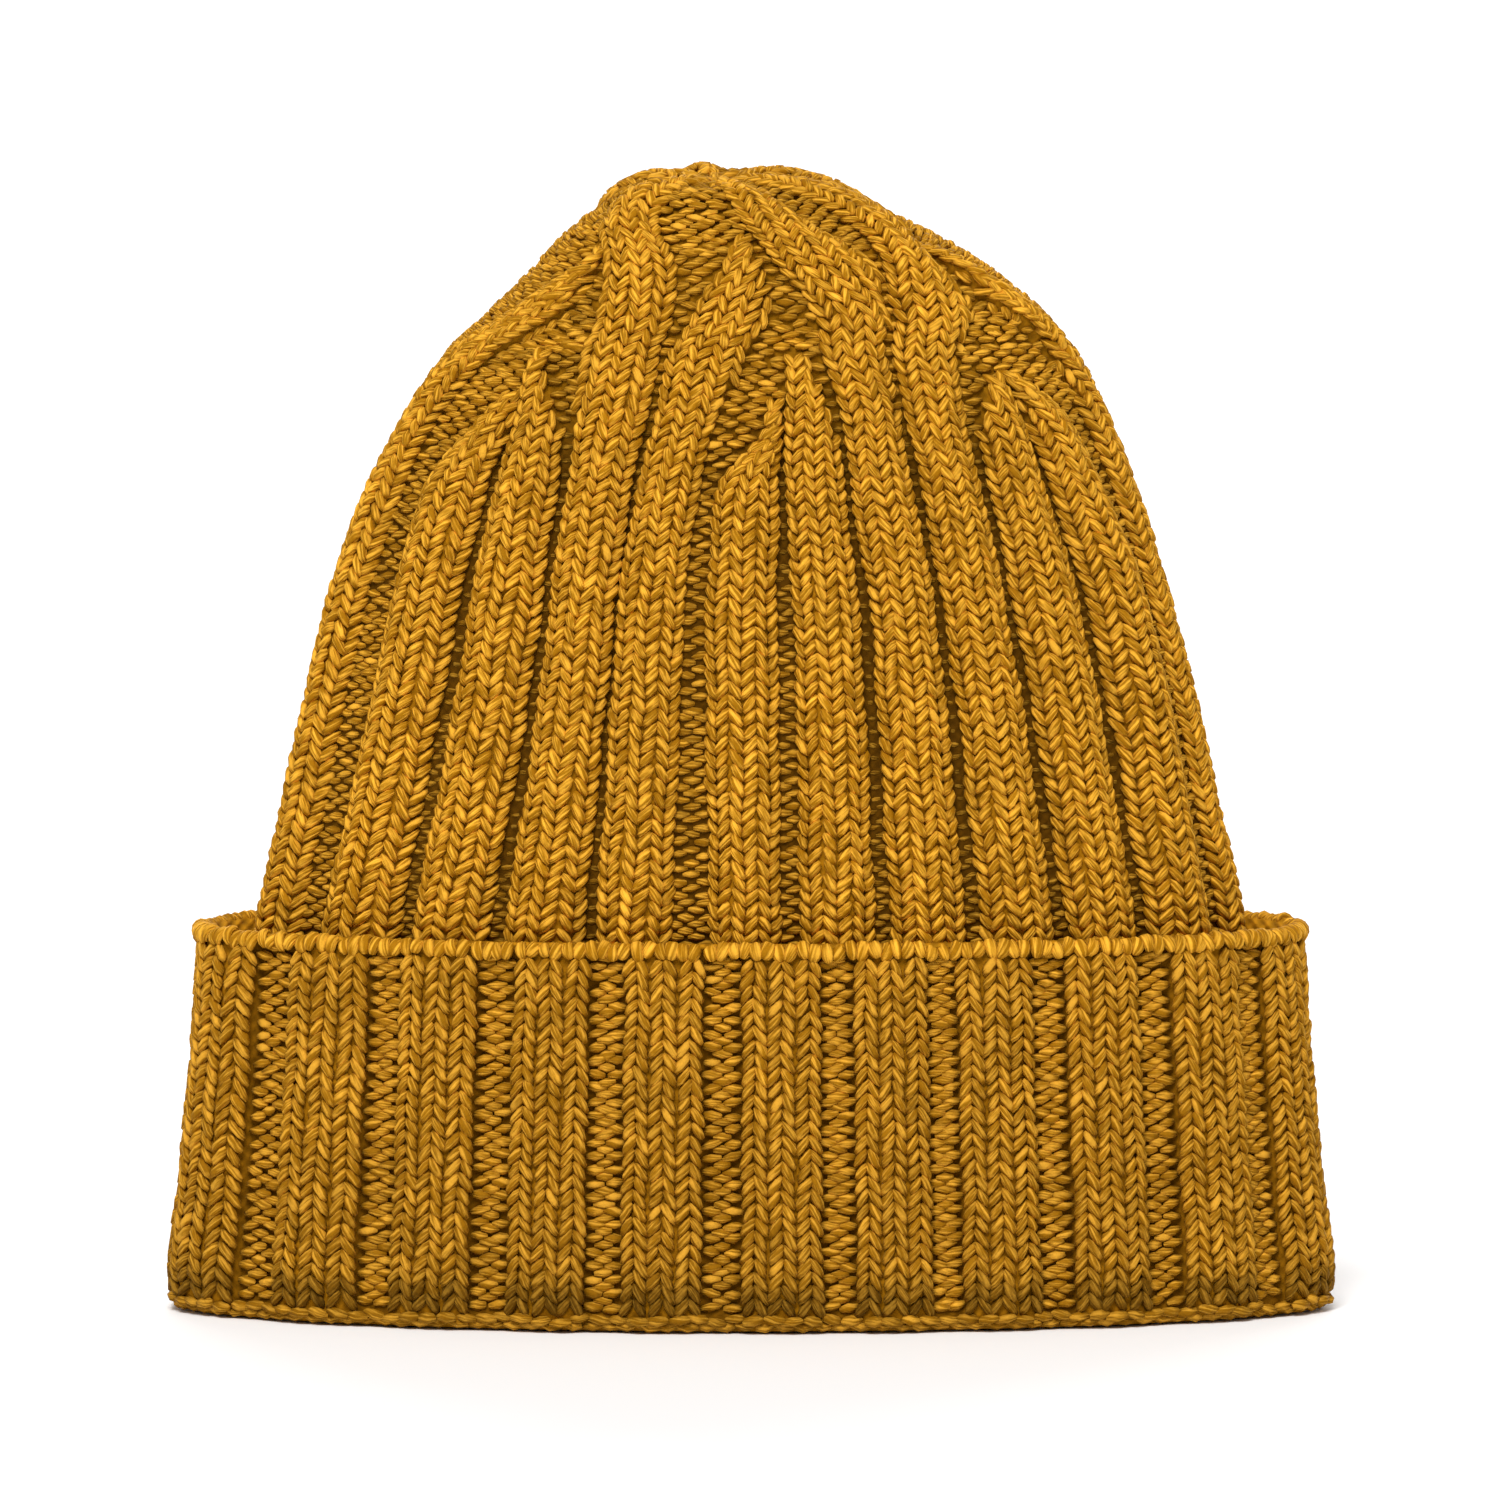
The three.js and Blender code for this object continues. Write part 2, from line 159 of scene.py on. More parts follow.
def smooth_curve(xs, ys):
    """A smooth curve through table values that never overshoots them."""
    xs = np.asarray(xs, float)
    ys = np.asarray(ys, float)
    slopes = np.diff(ys) / np.diff(xs)
    product = slopes[:-1] * slopes[1:]
    total = np.where(product > 0, slopes[:-1] + slopes[1:], 1.0)
    inner = np.where(product > 0, 2 * product / total, 0.0)
    tangents = np.concatenate([slopes[:1], inner, slopes[-1:]])

    def at(x):
        x = np.clip(x, xs[0], xs[-1])
        i = np.clip(np.searchsorted(xs, x) - 1, 0, len(xs) - 2)
        span = xs[i + 1] - xs[i]
        t = (x - xs[i]) / span
        return ((2 * t**3 - 3 * t**2 + 1) * ys[i] + (t**3 - 2 * t**2 + t) * span * tangents[i]
                + (3 * t**2 - 2 * t**3) * ys[i + 1] + (t**3 - t**2) * span * tangents[i + 1])

    @functools.lru_cache(maxsize=None)
    def at_one(x):
        return float(at(x))

    return lambda x: at(x) if np.ndim(x) else at_one(float(x))


def smooth_step(start, end, x):
    t = np.clip((np.asarray(x, float) - start) / (end - start), 0, 1)
    return t * t * (3 - 2 * t)


def unit(vectors):
    return vectors / np.maximum(np.linalg.norm(vectors, axis=-1, keepdims=True), 1e-9)


def put(name, data):
    """Puts a mesh, lamp or camera into the scene as an object."""
    thing = bpy.data.objects.new(name, data)
    bpy.context.scene.collection.objects.link(thing)
    return thing


def uneven(chance, amount, shape):
    """Small differences from stitch to stitch, none of them far off."""
    return np.clip(chance.normal(0, 1, shape), -1.6, 1.6) * amount


OVAL_ANGLES = np.linspace(0, 2 * math.pi, 721)


@functools.lru_cache(maxsize=None)
def oval(half_width, half_depth):
    """The way round an oval at each of OVAL_ANGLES, from the -X side by way of the front, and its girth."""
    middle = (OVAL_ANGLES[1:] + OVAL_ANGLES[:-1]) / 2
    turn = OVAL_ANGLES[1] - OVAL_ANGLES[0]
    steps = np.hypot(half_width * np.sin(middle), half_depth * np.cos(middle)) * turn
    way = np.concatenate([[0], np.cumsum(steps)])
    return way / max(way[-1], 1e-9), way[-1]


def angle_at(share, half_width, half_depth):
    share = np.asarray(share, float)
    return np.interp(share - np.floor(share), oval(half_width, half_depth)[0], OVAL_ANGLES)


# The crown's form over knitted rows
def section_rows():
    table = np.array(list(CROWN_SECTIONS.values()))
    rise = np.diff(table[:, 0])
    side = np.hypot(rise, np.diff(table[:, 1]))
    front = np.hypot(rise, np.diff(table[:, 2]))
    rows = np.concatenate([[0], np.cumsum((side + front) / 2 / ROW_HEIGHT)])
    return rows - rows[CUFF_TOP_SECTION], table


SECTION_ROWS, SECTION_TABLE = section_rows()
HEM_ROW = SECTION_ROWS[0]
CLOSURE_ROW = SECTION_ROWS[-1]
FIRST_KNIT_ROW = -2.0
LAST_KNIT_ROW = CLOSURE_ROW - 1.3
crown_at = {name: smooth_curve(SECTION_ROWS, SECTION_TABLE[:, i]) for i, name in enumerate(CROWN_COLUMNS)}


def crown_girth(row):
    return oval(crown_at["half_width"](row), crown_at["half_depth"](row))[1]


def crest_point(angle, row):
    x = -crown_at["half_width"](row) * np.cos(angle)
    y = -crown_at["half_depth"](row) * np.sin(angle)
    height = crown_at["height"](row) + crown_at["tilt"](row) * y
    return np.stack([x + crown_at["right"](row), y + crown_at["back"](row), height], -1)


def crown_point(share, row, depth):
    """Places under the crest surface of the crown, all in one row."""
    share = np.asarray(share, float)
    angle = angle_at(share, crown_at["half_width"](row), crown_at["half_depth"](row))
    step = 0.01
    low = min(row, CLOSURE_ROW - 2 * step)
    way_round = crest_point(angle + step, low) - crest_point(angle - step, low)
    way_up = crest_point(angle, low + step) - crest_point(angle, low - step)
    outward = unit(np.cross(way_round, way_up))
    return crest_point(angle, row) - outward * np.broadcast_to(depth, share.shape)[..., None]


class CrownRib:
    """One rib of the crown, with its edges as shares of the way round at any row."""

    def __init__(self, number, move):
        self.ends, self.keeps, left, right = RIB_EDGES[number]
        self.left = smooth_curve(EDGE_ROWS, [move(edge) / 1000 for edge in left])
        self.right = smooth_curve(EDGE_ROWS, [move(edge) / 1000 for edge in right])

    def knit_edges(self, row):
        """The edges of the rib's knit columns, which overhang the valleys."""
        overhang = OVERHANG / crown_girth(row)
        return self.left(row) - overhang, self.right(row) + overhang

    def width(self, row):
        left, right = self.knit_edges(row)
        return (right - left) * crown_girth(row)

    def middle(self, row):
        return (self.left(row) + self.right(row)) / 2

    def alive(self, row):
        return row < self.ends and self.width(row) > NARROWEST_RIB

    def standing(self, row):
        """How much of the rib's height is left over the last rows before it is decreased away."""
        lower = ENDING["lower"] * smooth_step(self.ends - ENDING["rows"], self.ends, row)
        return float(1 - lower) * (row < self.ends)


def crown_ribs():
    """The back half repeats the front half in the girth that is left."""
    back_scale = (1000 + FRONT_START - FRONT_END) / (FRONT_END - FRONT_START)

    def to_back(edge):
        return FRONT_END + (edge - FRONT_START) * back_scale

    front = [CrownRib(number, lambda edge: edge) for number in RIB_EDGES]
    return front + [CrownRib(number, to_back) for number in RIB_EDGES]


RIBS = crown_ribs()


def rib_height(share, row):
    """How far the knit stands up from the valley floor, from 0 to 1."""
    share = np.asarray(share, float)
    height = np.zeros(share.shape)
    for rib in RIBS:
        left = rib.left(row)
        width = max(float(rib.right(row) - left), 1e-6)
        across = (share - left) % 1.0
        rounding = 1 - np.abs(2 * np.clip(across / width, 0, 1) - 1) ** CROWN_RIB_POWER
        fullness = min(1.0, width / FULL_RIB_SHARE) * rib.standing(row)
        height = np.maximum(height, np.where(across < width, rounding * fullness, 0))
    return height


def valley_depth(row):
    """The knit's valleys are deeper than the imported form's."""
    deeper = VALLEY_DEEPER + (TOP_VALLEY_DEEPER - VALLEY_DEEPER) * smooth_step(*MERGING["valleys"], row)
    return crown_at["relief"](row) * deeper


def crown_skin(share, row, under=0.0):
    depth = valley_depth(row) * (1 - rib_height(share, row))
    return crown_point(share, row, depth + under)


# The cuff's form over height
def cuff_ribs():
    count = RIB_COUNT - len(CUFF_FRONT_RIBS)
    pitch = (CUFF_BACK["end"] - CUFF_BACK["start"]) / (count - 1 + CUFF_BACK["rib_share"])
    back = [(CUFF_BACK["start"] + i * pitch, CUFF_BACK["start"] + (i + CUFF_BACK["rib_share"]) * pitch)
            for i in range(count)]
    return [(left / 1000, right / 1000) for left, right in CUFF_FRONT_RIBS + tuple(back)]


CUFF_RIBS = cuff_ribs()
# The cuff's outer wall pulls in at the hem and at the roll, and its sides bulge out, most at the hem
cuff_inward = smooth_curve((0, 1, 2.5, 4.2, 6, 9, 66, 71, 73), (2.4, 1.4, 0.5, 0.8, 0.5, 0, 0, 0.5, 0.9))
cuff_rib_share = smooth_curve((0, 1.2, 3, 5.5, 9, 66, 70, 73), (0.2, 0.3, 0.5, 0.8, 1, 1, 0.6, 0.3))
cuff_side_bulge = smooth_curve((0, 5, 14, 24, 38, 50, 68, 75), (1.8, 2.4, 2.2, 1.3, 0.9, 0.5, 0.6, 0.9))


def cuff_oval(height):
    rise = height / CUFF_TOP["height"]
    return tuple(CUFF_HEM[side] + (CUFF_TOP[side] - CUFF_HEM[side]) * rise
                 for side in ("half_width", "half_depth"))


def cuff_girth(height):
    return oval(*cuff_oval(height))[1]


def cuff_point(share, height, inward):
    half_width, half_depth = cuff_oval(height)
    angle = angle_at(share, half_width, half_depth)
    outward = unit(np.stack([-np.cos(angle) / half_width, -np.sin(angle) / half_depth, 0 * angle], -1))
    side_rise = CUFF_SIDE_RISE * height / CUFF_TOP["height"] * np.cos(angle) ** 2
    on_oval = np.stack([-half_width * np.cos(angle), -half_depth * np.sin(angle), height + side_rise], -1)
    inward = inward - cuff_side_bulge(height) * np.cos(angle) ** 6
    return on_oval - outward * np.broadcast_to(inward, angle.shape)[..., None]


def cuff_height_of_ribs(share):
    share = np.asarray(share, float) % 1.0
    height = np.zeros(share.shape)
    for left, right in CUFF_RIBS:
        across = (share - left) / (right - left)
        height = np.maximum(height, np.clip(1 - np.abs(2 * across - 1) ** CUFF_RIB_POWER, 0, 1))
    return height


def cuff_skin(share, height, under=0.0):
    valley = CUFF_RELIEF * cuff_rib_share(height) * (1 - cuff_height_of_ribs(share))
    return cuff_point(share, height, cuff_inward(height) + valley + under)


# Yarn shapes: a short tube along +Y with +Z outward, whose UV map runs along and round the yarn
YARN_SIDES = 6


def yarn_shape(name, path, radii, slant=0.0):
    """A closed tube through path, tapering to its two ends; slant cuts them off at an angle."""
    path = np.asarray(path, float)
    ways = unit(np.gradient(path, axis=0))
    side = np.array([1.0, 0.0, 0.0])
    vertices = [path[0]]
    for place, way, radius in zip(path[1:-1], ways[1:-1], radii):
        up = unit(np.cross(side, way))
        for k in range(YARN_SIDES):
            turn = 2 * math.pi * k / YARN_SIDES
            vertex = place + radius * (math.cos(turn) * side + math.sin(turn) * up)
            vertices.append(vertex + (0, slant * vertex[0], 0))
    vertices.append(path[-1])
    rings = len(path) - 2
    lengths = np.concatenate([[0], np.cumsum(np.linalg.norm(np.diff(path, axis=0), axis=1))])
    along = lengths / lengths[-1]
    faces, uvs = [], []
    for k in range(YARN_SIDES):
        here, there = k / YARN_SIDES, (k + 1) / YARN_SIDES
        follow = (k + 1) % YARN_SIDES
        faces.append((0, 1 + follow, 1 + k))
        uvs.append(((along[0], here), (along[1], there), (along[1], here)))
        for ring in range(rings - 1):
            low, high = 1 + ring * YARN_SIDES, 1 + (ring + 1) * YARN_SIDES
            faces.append((low + k, low + follow, high + follow, high + k))
            uvs.append(((along[ring + 1], here), (along[ring + 1], there), (along[ring + 2], there),
                        (along[ring + 2], here)))
        last = 1 + (rings - 1) * YARN_SIDES
        faces.append((last + k, last + follow, len(vertices) - 1))
        uvs.append(((along[-2], here), (along[-2], there), (along[-1], here)))
    mesh = bpy.data.meshes.new(name)
    mesh.from_pydata([tuple(v) for v in vertices], [], faces)
    mesh.polygons.foreach_set("use_smooth", [True] * len(faces))
    layer = mesh.uv_layers.new(name="yarn")
    layer.data.foreach_set("uv", [value for face in uvs for corner in face for value in corner])
    mesh.update()
    return put(name, mesh)


def stitch_leg_shape(name, slant):
    """One leg of a knit stitch, plump yarn one unit long whose slanted ends dip behind its neighbours."""
    ys = (-0.5, -0.46, -0.24, 0.24, 0.46, 0.5)
    dips = (-0.26, -0.18, 0.0, 0.0, -0.18, -0.26)
    return yarn_shape(name, [(0, y, z) for y, z in zip(ys, dips)], (0.38, 0.5, 0.5, 0.38), slant)


def purl_bump_shape():
    """The back of a stitch, a short bow of yarn across the fabric."""
    ys = (-0.5, -0.38, 0.0, 0.38, 0.5)
    dips = (-0.30, -0.12, 0.0, -0.12, -0.30)
    return yarn_shape("purl_bump", [(0, y, z) for y, z in zip(ys, dips)], (0.36, 0.5, 0.36))


def rim_leg_shape():
    """A leg of an edge stitch, which comes up the front of the cuff's roll and goes down behind it."""
    turns = np.radians(np.linspace(-62, 165, 9))
    path = [(0, math.sin(turn), math.cos(turn)) for turn in turns]
    return yarn_shape("rim_leg", path, (0.30, 0.42, 0.46, 0.46, 0.46, 0.42, 0.30))


class NodeMaker:
    """Adds nodes to a tree, with their settings and what goes into their sockets."""

    def __init__(self, tree):
        self.nodes = tree.nodes
        self.links = tree.links

    def feed(self, socket, value):
        """Links an output to a socket, or sets a constant on it."""
        if isinstance(value, bpy.types.NodeSocket):
            self.links.new(value, socket)
        else:
            socket.default_value = value

    def add(self, kind, settings=(), inputs=()):
        """Adds a node; its inputs are given by name or by number."""
        node = self.nodes.new(kind)
        for key, value in dict(settings).items():
            setattr(node, key, value)
        for key, value in dict(inputs).items():
            self.feed(node.inputs[key], value)
        return node


# Geometry Nodes that lay yarn along the places of a cloud of points
LAYING_SEED = 7


def laying_nodes():
    tree = bpy.data.node_groups.new("lay_yarn_on_fabric", "GeometryNodeTree")
    face = tree.interface
    face.new_socket("Geometry", in_out="INPUT", socket_type="NodeSocketGeometry")
    wanted = (("Left shape", "Object", None), ("Right shape", "Object", None), ("Unevenness", "Float", 0.1),
              ("Seed", "Int", LAYING_SEED), ("Yarn finish", "Material", None))
    for name, kind, value in wanted:
        socket = face.new_socket(name, in_out="INPUT", socket_type=f"NodeSocket{kind}")
        if value is not None:
            socket.default_value = value
    face.new_socket("Geometry", in_out="OUTPUT", socket_type="NodeSocketGeometry")
    maker = NodeMaker(tree)
    given = maker.add("NodeGroupInput").outputs

    def stored(name, kind="FLOAT_VECTOR"):
        node = maker.add("GeometryNodeInputNamedAttribute", {"data_type": kind}, {"Name": name})
        return node.outputs["Attribute"]

    wobble = maker.add("FunctionNodeRandomValue", {"data_type": "FLOAT_VECTOR"},
                       {0: (-1, -1, -1), 1: (1, 1, 1), "Seed": given["Seed"]})
    sway = maker.add("ShaderNodeVectorMath", {"operation": "SCALE"},
                     {0: wobble.outputs[0], "Scale": given["Unevenness"]})
    leaning = maker.add("ShaderNodeVectorMath", {"operation": "ADD"},
                        {0: stored("along"), 1: sway.outputs[0]})
    turning = maker.add("FunctionNodeAxesToRotation", {"primary_axis": "Y", "secondary_axis": "Z"},
                        {"Primary Axis": leaning.outputs[0], "Secondary Axis": stored("outward")})
    both = maker.add("GeometryNodeJoinGeometry")
    for label, side in (("Left shape", 0), ("Right shape", 1)):
        picked = maker.add("GeometryNodeObjectInfo", {}, {"Object": given[label]})
        chosen = maker.add("FunctionNodeCompare", {"data_type": "INT", "operation": "EQUAL"},
                           {"A": stored("right", "INT"), "B": side})
        laid = maker.add("GeometryNodeInstanceOnPoints", {},
                         {"Points": given["Geometry"], "Selection": chosen.outputs["Result"],
                          "Instance": picked.outputs["Geometry"], "Rotation": turning.outputs[0],
                          "Scale": stored("size")})
        maker.feed(both.inputs[0], laid.outputs[0])
    real = maker.add("GeometryNodeRealizeInstances", {}, {0: both.outputs[0]})
    dressed = maker.add("GeometryNodeSetMaterial", {},
                        {"Geometry": real.outputs[0], "Material": given["Yarn finish"]})
    maker.add("NodeGroupOutput", {}, {0: dressed.outputs[0]})
    return tree


def mark_points(mesh, name, kind, values):
    """Stores a value at every point of a mesh."""
    marks = mesh.attributes.new(name, kind, "POINT")
    marks.data.foreach_set("vector" if kind == "FLOAT_VECTOR" else "value", values.ravel())


def lay_yarn(name, shapes, cloud, finish, unevenness=0.1):
    """Lays the left or right yarn shape at every place of a cloud and keeps the result as one plain mesh."""
    mesh = bpy.data.meshes.new(name + "_places")
    mesh.from_pydata([tuple(p) for p in cloud["place"] * MM], [], [])
    for key in ("along", "outward", "size"):
        values = cloud[key] * (MM if key == "size" else 1.0)
        mark_points(mesh, key, "FLOAT_VECTOR", values.astype(np.float32))
    mark_points(mesh, "tone", "FLOAT", cloud["tone"].astype(np.float32))
    mark_points(mesh, "right", "INT", cloud.get("right", np.zeros(len(cloud["tone"]))).astype(np.int32))
    places = put(name + "_places", mesh)
    modifier = places.modifiers.new("lay_yarn", "NODES")
    modifier.node_group = laying_tree
    sockets = {item.name: item.identifier for item in laying_tree.interface.items_tree
               if item.in_out == "INPUT"}
    settings = {"Left shape": shapes[0], "Right shape": shapes[1], "Unevenness": unevenness,
                "Seed": LAYING_SEED, "Yarn finish": finish}
    for label, value in settings.items():
        modifier[sockets[label]] = value
    bpy.context.view_layer.update()
    graph = bpy.context.evaluated_depsgraph_get()
    plain = bpy.data.meshes.new_from_object(places.evaluated_get(graph))
    places.modifiers.clear()
    bpy.data.objects.remove(places)
    for key in ("along", "outward", "size", "right"):
        if key in plain.attributes:
            plain.attributes.remove(plain.attributes[key])
    plain.name = name
    return put(name, plain)


# Clouds of places for the stitches
def cloud_of(place, along, outward, size, tone):
    return {"place": place, "along": along, "outward": outward, "size": size, "tone": tone}


def join_clouds(clouds):
    return {key: np.concatenate([cloud[key] for cloud in clouds]) for key in clouds[0]}


def pick(cloud, chosen):
    return {key: values[chosen] for key, values in cloud.items()}


def stitch_frame(place, upward, way_across):
    """A place on the fabric, with the way up by one row, level along it, square to the column and out."""
    level = unit(way_across)
    outward = unit(np.cross(level, unit(upward)))
    return {"place": place, "upward": upward, "level": level,
            "square": unit(np.cross(unit(upward), outward)), "outward": outward}


def skin_frame(skin, share, low, level, high, girth):
    """A stitch frame where skin(share, level) gives the fabric's surface."""
    nudge = FEELER / girth
    return stitch_frame(skin(share, level), skin(share, high) - skin(share, low),
                        skin(share + nudge, level) - skin(share - nudge, level))


def leg_offset(side):
    """How far a leg's middle lies from the middle of its column, as a share of the column's width."""
    return side * (0.25 - KNIT_YARN["huddle"])


def leg_cloud(spot, side, wale, opens_up, chance):
    """Legs of knit stitches, -1 the left and 1 the right; their V leans half with a leaning column."""
    count = len(side)
    narrowing = np.sum(spot["level"] * spot["square"], axis=1)
    on_cuff = "cuff_" if opens_up < 0 else ""
    reach = side * opens_up * KNIT_YARN[on_cuff + "reach"] * wale * narrowing
    across = unit(spot["level"] + spot["square"])
    lean = across * reach[:, None] + spot["upward"] * KNIT_YARN[on_cuff + "climb"]
    along = unit(lean)
    apart = np.linalg.norm(np.cross(spot["upward"], along), axis=1)
    width = np.clip(KNIT_YARN["fill"] * apart, KNIT_YARN["narrowest"], KNIT_YARN["widest"])
    length = np.linalg.norm(lean, axis=1)
    size = np.stack([width, length, np.full(count, KNIT_YARN["thickness"])], -1)
    size = size * (1 + uneven(chance, KNIT_VARIES["size"], (count, 3)))
    drift = across * uneven(chance, KNIT_VARIES["drift"], (count, 1))
    drift = drift - spot["outward"] * (KNIT_YARN["sink"] + uneven(chance, KNIT_VARIES["sink"], (count, 1)))
    cloud = cloud_of(spot["place"] + drift, along, spot["outward"], size, chance.normal(0, 1, count))
    cloud["right"] = side * opens_up > 0
    return cloud


def column_sway(wave, number, edge):
    """How far a knit column has wandered aside; each column of each rib starts elsewhere in its wave."""
    return COLUMN_SWAY["reach"] * np.sin(wave + COLUMN_SWAY["column"] * number + COLUMN_SWAY["rib"] * edge)


def wale_width(row, rib_width):
    """Three even knit columns in a rib low on the crown, and columns of one width where the ribs merge."""
    settled = smooth_step(*MERGING["columns"], row)
    return rib_width / WALES_PER_RIB * (1 - settled) + WALE_WIDTH * settled


def leg_shares(rib, row, number, side):
    """Where the legs of a rib's knit columns lie, as shares of the way round."""
    left, right = rib.knit_edges(row)
    girth = crown_girth(row)
    step = wale_width(row, (right - left) * girth) / girth
    keeps_left = rib.keeps == "left"
    from_edge = (number + 0.5 + leg_offset(side if keeps_left else -side)) * step
    share = left + from_edge if keeps_left else right - from_edge
    across = np.clip(2 * (share - left) / (right - left) - 1, -1, 1)
    spread = RIB_ROUNDING["spread"] * (1 - smooth_step(*MERGING["spread"], row))
    sway = column_sway(COLUMN_SWAY["row"] * row, number, rib.left(0)) / girth
    return share + (across - across**3) * spread * (right - left) / 2 + sway


def flank_of(rib, row, share):
    """How far places lie from the middle of their rib, from 0 to 1."""
    left, right = rib.knit_edges(row)
    return np.abs(np.clip(2 * (share - left) / (right - left) - 1, -1, 1))


def rib_point(rib, row, share, standing):
    """Places on a rounded rib, which sinks into the fabric where it is decreased away."""
    drop = RIB_ROUNDING["drop"] * flank_of(rib, row, share) ** RIB_ROUNDING["power"]
    return crown_point(share, row, valley_depth(row) * (1 - (1 - drop) * standing))


def rows_along(path):
    """Rows that lie one stitch apart on a path up the crown, each with the row step of one stitch there."""
    rows = np.arange(FIRST_KNIT_ROW, LAST_KNIT_ROW, 0.25)
    places = np.array([crown_point(path(row), row, 0.0) for row in rows])
    way = np.concatenate([[0], np.cumsum(np.linalg.norm(np.diff(places, axis=0), axis=1))])
    stitches = np.interp(np.arange(0, way[-1], ROW_HEIGHT), way, rows)
    return zip(np.round(stitches * 20) / 20, np.round(np.gradient(stitches), 1))


def crown_leg_cloud(chance):
    clouds = []
    for rib in RIBS:
        for row, step in rows_along(rib.middle):
            if not rib.alive(row):
                continue
            width = rib.width(row)
            wale = wale_width(row, width)
            count = np.arange(max(2, int(round(2 * width / wale))))
            side = np.where(count % 2, 1, -1) * (1 if rib.keeps == "left" else -1)
            standing = rib.standing(row) * min(1.0, width / FULL_RIB)
            nudge = FEELER / crown_girth(row)
            here, above, below = (leg_shares(rib, row + lift, count // 2, side)
                                  for lift in (0, step / 2, -step / 2))
            upward = (rib_point(rib, row + step / 2, above, standing)
                      - rib_point(rib, row - step / 2, below, standing))
            across = (rib_point(rib, row, here + nudge, standing)
                      - rib_point(rib, row, here - nudge, standing))
            spot = stitch_frame(rib_point(rib, row, here, standing), upward, across)
            cloud = leg_cloud(spot, side, wale, 1, chance)
            # Painted shade on the rib's flanks, deepest at its edges
            cloud["tone"] = cloud["tone"] - RIB_ROUNDING["shade"] * flank_of(rib, row, here) ** 3
            clouds.append(cloud)
    return join_clouds(clouds)


def purl_cloud(spot, lift, hidden, chance):
    """Purl bumps, laid level; hidden, from 0 to 1, sinks, shrinks and darkens with painted shade those in a
    narrow valley.
    """
    count = len(lift)
    size = np.array([PURL_YARN[way] for way in ("width", "length", "thickness")])
    size = size * (1 + uneven(chance, PURL_VARIES["size"], (count, 3)))
    tilt = PURL_YARN["tilt"] + uneven(chance, PURL_VARIES["tilt"], count)
    along = unit(spot["level"] + unit(spot["upward"]) * tilt[:, None])
    sunk = PURL_YARN["sink"] + PURL_YARN["hidden_sink"] * hidden + uneven(chance, PURL_VARIES["sink"], count)
    lift = lift + uneven(chance, PURL_VARIES["lift"], count)
    place = spot["place"] - spot["outward"] * sunk[:, None] + spot["upward"] * lift[:, None]
    size = size * (1 - PURL_YARN["hidden_shrink"] * hidden)[:, None]
    tone = chance.normal(0, 1, count) - PURL_YARN["hidden_shade"] * hidden
    return cloud_of(place, along, spot["outward"], size, tone)


def gap_beside(number, row):
    """The share where a rib's right edge lies, and where the next rib begins."""
    following = number + 1
    while not RIBS[following % len(RIBS)].alive(row):
        following += 1
    turns, following = divmod(following, len(RIBS))
    return float(RIBS[number].right(row)), float(RIBS[following].left(row)) + turns


def crown_purl_cloud(chance):
    """Purl bumps fill what the ribs leave free, in columns half a row apart."""
    clouds = []
    for number, rib in enumerate(RIBS):
        for row, step in rows_along(rib.right):
            if not rib.alive(row):
                continue
            start, end = gap_beside(number, row)
            girth = crown_girth(row)
            gap = (end - start) * girth
            if gap < PURL_GAPS["closed"]:
                continue
            columns = max(1, int(round(gap / PURL_YARN["pitch"])))
            across = (np.arange(columns) + 0.5) / columns
            share = start + (end - start) * across
            hidden = ((1 - smooth_step(*PURL_GAPS["hidden"], gap))
                      * (1 - smooth_step(*MERGING["hidden"], row)))
            spot = skin_frame(crown_skin, share, row - step / 2, row, row + step / 2, girth)
            cloud = purl_cloud(spot, np.arange(columns) % 2 * 0.5, np.full(columns, hidden), chance)
            # Painted shade in a narrow valley and in the creases beside the ribs
            beside_rib = np.abs(2 * across - 1) ** 2 * smooth_step(*MERGING["edge_shade"], row)
            shade = (PURL_YARN["shade"] * (1 - smooth_step(*PURL_GAPS["shaded"], gap))
                     + PURL_YARN["edge_shade"] * beside_rib)
            cloud["tone"] = cloud["tone"] - shade + PURL_YARN["tone"]
            clouds.append(cloud)
    return join_clouds(clouds)


# The closure's two rings: their row and how many stitches each draws together
CLOSURE_RINGS = ((CLOSURE_ROW - 1.6, 9), (CLOSURE_ROW - 0.6, 5))
CLOSURE_YARN = {"size": (2.2, 3.6, 2.0), "sink": 1.2, "valley_share": 0.6, "tone": -0.5}
CLOSURE_VARIES = {"share": 0.15, "size": 0.08}


def closure_cloud(chance):
    """The last stitches, drawn together at the top and lying towards the middle."""
    clouds = []
    for row, count in CLOSURE_RINGS:
        share = np.arange(count) + chance.uniform(-CLOSURE_VARIES["share"], CLOSURE_VARIES["share"], count)
        share = share / count
        depth = valley_depth(row) * CLOSURE_YARN["valley_share"] + CLOSURE_YARN["sink"]
        place = crown_point(share, row, depth)
        upward = crown_point(share, row + 0.5, 0) - crown_point(share, row - 0.5, 0)
        across = crown_point(share + 0.01, row, 0) - crown_point(share - 0.01, row, 0)
        outward = unit(np.cross(across, upward))
        size = np.array(CLOSURE_YARN["size"]) * (1 + uneven(chance, CLOSURE_VARIES["size"], (count, 3)))
        tone = chance.normal(CLOSURE_YARN["tone"], 1, count)
        clouds.append(cloud_of(place, unit(upward), outward, size, tone))
    return join_clouds(clouds)


# The heights of the cuff's knitted rows
CUFF_ROWS, CUFF_ROW_STEP = np.linspace(5.1, 70.7, 26, retstep=True)
